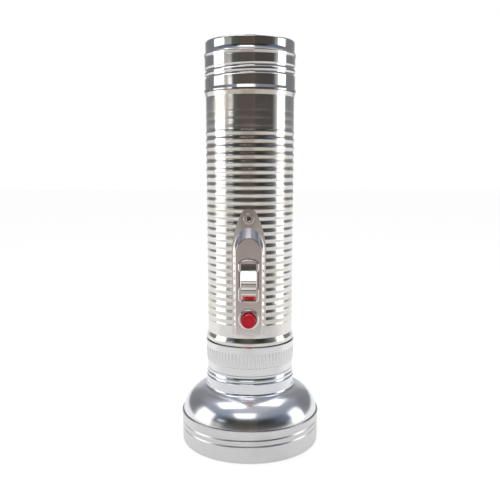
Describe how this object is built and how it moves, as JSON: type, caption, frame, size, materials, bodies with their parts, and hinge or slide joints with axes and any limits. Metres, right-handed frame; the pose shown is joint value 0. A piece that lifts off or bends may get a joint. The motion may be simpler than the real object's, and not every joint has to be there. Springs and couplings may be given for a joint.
{
  "type": "flashlight",
  "caption": "Ribbed sheet-metal tube flashlight with a screw tail cap, a domed screw head, a slide switch and a red flash button.",
  "frame": {"origin": "centre of the bezel's flat rim, on which the flashlight stands", "axes": "+Z along the tube towards the tail cap; the switch faces -Y; +X to the right seen from the switch side"},
  "size_m": [0.063, 0.063, 0.1764],
  "materials": {
    "tin_plate": "bright rolled tin-plated sheet, light marks",
    "polished_plate": "polished plated sheet",
    "brushed_plate": "finely brushed plated sheet",
    "knurled_metal": "bright turned and knurled",
    "brass": "plain brass",
    "bronze": "spring bronze",
    "spring_steel": "drawn wire",
    "cell_steel": "plain steel can",
    "cell_filling": "packed dark cell mix, sealed in",
    "cell_paper": "coated paper jacket, bare",
    "card": "grey-brown card",
    "fibre": "vulcanised fibre",
    "reflector_silver": "silvered mirror",
    "clear_glass": "clear polished",
    "rubber": "black rubber",
    "red_plastic": "translucent red, glossy",
    "white_glass": "glass bead and wires"
  },
  "bodies": {
    "barrel": {"body_tube": "tin_plate", "neck_ferrule": "brass", "cell_liner": "card", "front_cell_can": "cell_steel", "front_cell_mix": "cell_filling", "front_cell_jacket": "cell_paper", "front_cell_nub": "brass", "rear_cell_can": "cell_steel", "rear_cell_mix": "cell_filling", "rear_cell_jacket": "cell_paper", "rear_cell_nub": "brass", "contact_strip": "brass", "strip_insulator": "fibre", "switch_cover": "brushed_plate", "switch_eyelet": "polished_plate", "push_button_collar": "polished_plate"},
    "tail_spring_seat": {"tail_spring": "spring_steel"},
    "tail_cap": {"tail_cap": "polished_plate", "spring_clip": "brass"},
    "lamp_carrier": {"reflector": "reflector_silver", "bulb_base": "brass", "bulb_glass": "clear_glass", "bulb_filament": "white_glass", "bulb_holder": "brass", "contact_insulator": "fibre", "centre_contact": "brass"},
    "head": {"knurled_ring": "knurled_metal", "bell": "polished_plate"},
    "lens_seat": {"lens": "clear_glass", "lens_gasket": "rubber"},
    "bezel": {"bezel_ring": "tin_plate"},
    "slide_switch": {"slide_button": "polished_plate", "slide_carrier": "fibre", "slide_contact": "bronze"},
    "push_button": {"push_button": "red_plastic", "signal_contact": "bronze"}
  },
  "joints": [
    {"name": "tail_cap_lift", "type": "slide", "parent": "barrel", "child": "tail_spring_seat", "axis": [0, 0, 1], "range_m": [0, 0.00796]},
    {"name": "tail_cap_turn", "type": "hinge", "parent": "tail_spring_seat", "child": "tail_cap", "pos_m": [0, 0, 0.16], "axis": [0, 0, 1], "range_deg": [0, 1080]},
    {"name": "head_travel", "type": "slide", "parent": "barrel", "child": "lamp_carrier", "axis": [0, 0, -1], "range_m": [0, 0.00796]},
    {"name": "head_turn", "type": "hinge", "parent": "lamp_carrier", "child": "head", "pos_m": [0, 0, 0.04], "axis": [0, 0, -1], "range_deg": [0, 1080]},
    {"name": "bezel_travel", "type": "slide", "parent": "head", "child": "lens_seat", "axis": [0, 0, -1], "range_m": [0, 0.00862]},
    {"name": "bezel_turn", "type": "hinge", "parent": "lens_seat", "child": "bezel", "pos_m": [0, 0, 0.007], "axis": [0, 0, -1], "range_deg": [0, 1170]},
    {"name": "slide_switch", "type": "slide", "parent": "barrel", "child": "slide_switch", "axis": [0, 0, 1], "range_m": [0, 0.0055]},
    {"name": "push_button", "type": "slide", "parent": "barrel", "child": "push_button", "axis": [0, 1, 0], "range_m": [0, 0.0015], "stiffness_N_per_m": 800}
  ],
  "couplings": [
    {"joint": "tail_cap_lift", "follows": "tail_cap_turn", "m_per_rad": 0.00042176},
    {"joint": "head_travel", "follows": "head_turn", "m_per_rad": 0.00042176},
    {"joint": "bezel_travel", "follows": "bezel_turn", "m_per_rad": 0.00042176}
  ]
}
